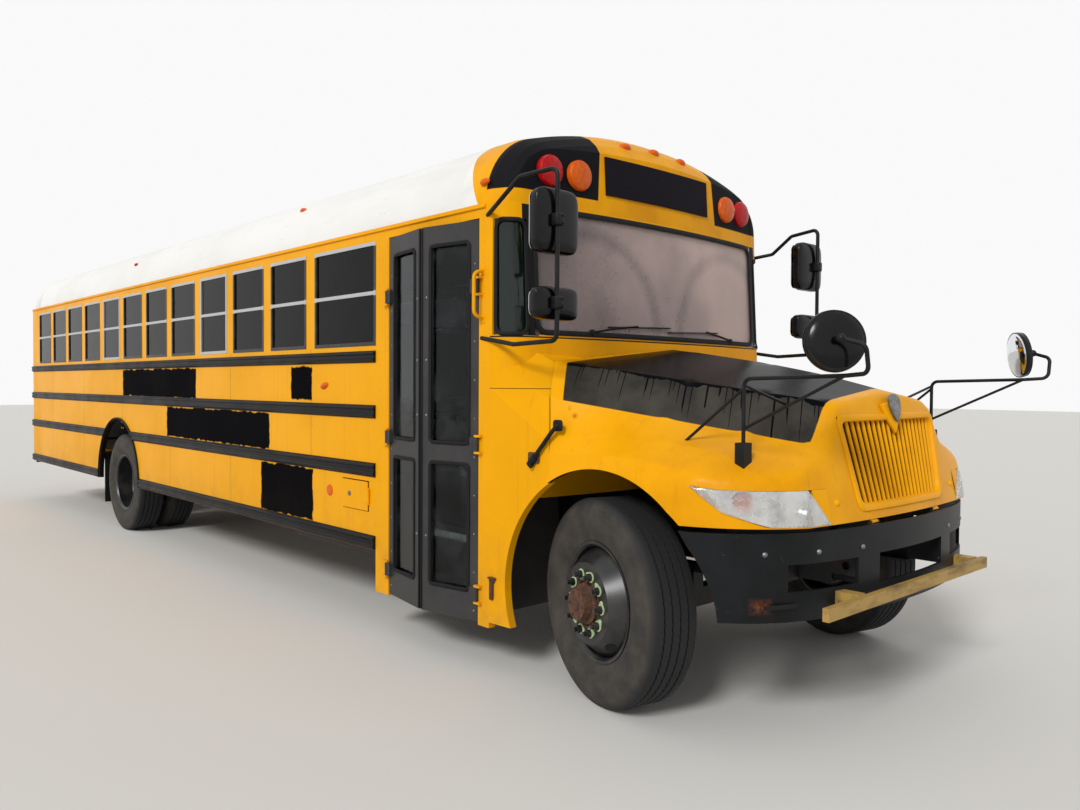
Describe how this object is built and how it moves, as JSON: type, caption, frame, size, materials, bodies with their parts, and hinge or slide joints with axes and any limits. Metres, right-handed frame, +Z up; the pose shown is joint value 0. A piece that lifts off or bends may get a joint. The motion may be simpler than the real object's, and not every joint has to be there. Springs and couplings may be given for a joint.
{
  "type": "school bus",
  "caption": "Full-size conventional school bus with a tilting hood, two-leaf entry door, seats, and a rear emergency door.",
  "frame": {"origin": "on the ground, under the middle of the overall length and width", "axes": "+X towards the front of the bus, +Y to its left side, +Z up"},
  "size_m": [11.978, 2.696, 3.172],
  "materials": {
    "yellow_paint": "gloss",
    "white_paint": "gloss",
    "black_paint": "satin",
    "dark_grey_paint": "satin",
    "chassis_black": "satin",
    "aluminium": "satin",
    "cast": "rough",
    "tyre": "matte",
    "rubber": "matte",
    "glass": "clear",
    "red_lens": "gloss",
    "amber_lens": "gloss",
    "clear_lens": "gloss",
    "black_plastic": "matte",
    "seat_vinyl": "satin",
    "seat_steel": "satin",
    "floor_rubber": "matte",
    "rust_steel": "rough",
    "tan_bar": "satin",
    "stop_red": "gloss"
  },
  "bodies": {
    "bus_body": {"side_walls": "yellow_paint", "roof": "white_paint", "roof_end_caps": "yellow_paint", "cowl": "yellow_paint", "windshield": "glass", "floor_and_steps": "floor_rubber", "rear_wall": "yellow_paint", "window_frames": "aluminium", "window_glass": "glass", "rub_rails": "black_paint", "front_bumper": "black_paint", "crossing_bar": "tan_bar", "rear_bumper": "black_paint", "chassis_frame": "chassis_black", "floor_sills": "chassis_black", "engine_block": "cast", "underfloor_boxes": "chassis_black", "leaf_springs": "rust_steel", "axle_beams": "cast", "drive_shaft_and_exhaust": "rust_steel", "mud_flaps": "rubber", "body_brackets": "black_paint", "side_mirror_heads": "black_plastic", "red_lamps": "red_lens", "amber_lamps": "amber_lens", "destination_sign": "black_paint", "passenger_seat_frames": "seat_steel", "passenger_seat_pads": "seat_vinyl", "driver_seat": "seat_vinyl", "dashboard": "black_plastic"},
    "hood": {"hood": "yellow_paint", "grille": "yellow_paint", "headlamps": "clear_lens", "cross_view_mirrors": "black_plastic"},
    "steer_right": {"steering_knuckle_right": "cast"},
    "steer_left": {"steering_knuckle_left": "cast"},
    "tie_rod": {"tie_rod": "rust_steel"},
    "front_wheel_right": {"front_tyre_right": "tyre", "front_wheel_right": "black_paint"},
    "front_wheel_left": {"front_tyre_left": "tyre", "front_wheel_left": "black_paint"},
    "rear_wheels_right": {"rear_tyres_right": "tyre", "rear_wheels_right": "black_paint"},
    "rear_wheels_left": {"rear_tyres_left": "tyre", "rear_wheels_left": "black_paint"},
    "entry_leaf_front": {"entry_door_front_leaf": "dark_grey_paint", "entry_door_front_glass": "glass"},
    "entry_leaf_rear": {"entry_door_rear_leaf": "dark_grey_paint", "entry_door_rear_glass": "glass"},
    "rear_door": {"rear_emergency_door": "yellow_paint", "rear_door_glass": "glass"},
    "hatch_front": {"roof_hatch_front": "white_paint"},
    "hatch_rear": {"roof_hatch_rear": "white_paint"},
    "stop_arm": {"stop_arm": "stop_red"},
    "fuel_door": {"fuel_door": "yellow_paint"}
  },
  "joints": [
    {"name": "hood_tilt", "type": "hinge", "parent": "bus_body", "child": "hood", "pos_m": [5.666, 0, 0.95], "axis": [0, 1, 0], "range_deg": [0, 55]},
    {"name": "steer", "type": "hinge", "parent": "bus_body", "child": "steer_right", "pos_m": [4.718, -0.84, 0.512], "axis": [0, 0, 1], "range_deg": [-20, 50]},
    {"name": "steer_left_knuckle", "type": "hinge", "parent": "bus_body", "child": "steer_left", "pos_m": [4.718, 0.84, 0.512], "axis": [0, 0, 1], "range_deg": [-20, 50]},
    {"name": "tie_rod_end", "type": "hinge", "parent": "steer_right", "child": "tie_rod", "pos_m": [4.55379, -0.796, 0.392], "axis": [0, 0, 1], "range_deg": [-50, 20]},
    {"name": "front_wheel_right_spin", "type": "hinge", "parent": "steer_right", "child": "front_wheel_right", "pos_m": [4.718, -0.84, 0.512], "axis": [0.2588, 0.9659, 0], "continuous": true},
    {"name": "front_wheel_left_spin", "type": "hinge", "parent": "steer_left", "child": "front_wheel_left", "pos_m": [4.718, 0.84, 0.512], "axis": [0.2588, 0.9659, 0], "continuous": true},
    {"name": "rear_wheels_right_spin", "type": "hinge", "parent": "bus_body", "child": "rear_wheels_right", "pos_m": [-2.292, -0.882, 0.512], "axis": [0, 1, 0], "continuous": true},
    {"name": "rear_wheels_left_spin", "type": "hinge", "parent": "bus_body", "child": "rear_wheels_left", "pos_m": [-2.292, 0.882, 0.512], "axis": [0, 1, 0], "continuous": true},
    {"name": "entry_door_front", "type": "hinge", "parent": "bus_body", "child": "entry_leaf_front", "pos_m": [3.83, -1.233, 1.25], "axis": [0, 0, 1], "range_deg": [-10, 75]},
    {"name": "entry_door_rear", "type": "hinge", "parent": "bus_body", "child": "entry_leaf_rear", "pos_m": [2.936, -1.233, 1.25], "axis": [0, 0, 1], "range_deg": [-75, 10]},
    {"name": "rear_door_swing", "type": "hinge", "parent": "bus_body", "child": "rear_door", "pos_m": [-5.921, -0.402, 1.72], "axis": [0, 0, 1], "range_deg": [0, 105]},
    {"name": "hatch_front_lift", "type": "hinge", "parent": "bus_body", "child": "hatch_front", "pos_m": [1.476, 0, 3.148], "axis": [0, 1, 0], "range_deg": [0, 80]},
    {"name": "hatch_rear_lift", "type": "hinge", "parent": "bus_body", "child": "hatch_rear", "pos_m": [-3.624, 0, 3.148], "axis": [0, 1, 0], "range_deg": [0, 80]},
    {"name": "stop_arm_swing", "type": "hinge", "parent": "bus_body", "child": "stop_arm", "pos_m": [2.728, 1.259, 1.58], "axis": [0, 0, -1], "range_deg": [0, 90]},
    {"name": "fuel_door_swing", "type": "hinge", "parent": "bus_body", "child": "fuel_door", "pos_m": [2.707, -1.229, 0.85], "axis": [0, 0, 1], "range_deg": [0, 100]}
  ],
  "couplings": [
    {"joint": "steer_left_knuckle", "follows": "steer", "ratio": 1},
    {"joint": "tie_rod_end", "follows": "steer", "ratio": -1},
    {"joint": "entry_door_rear", "follows": "entry_door_front", "ratio": -1}
  ]
}
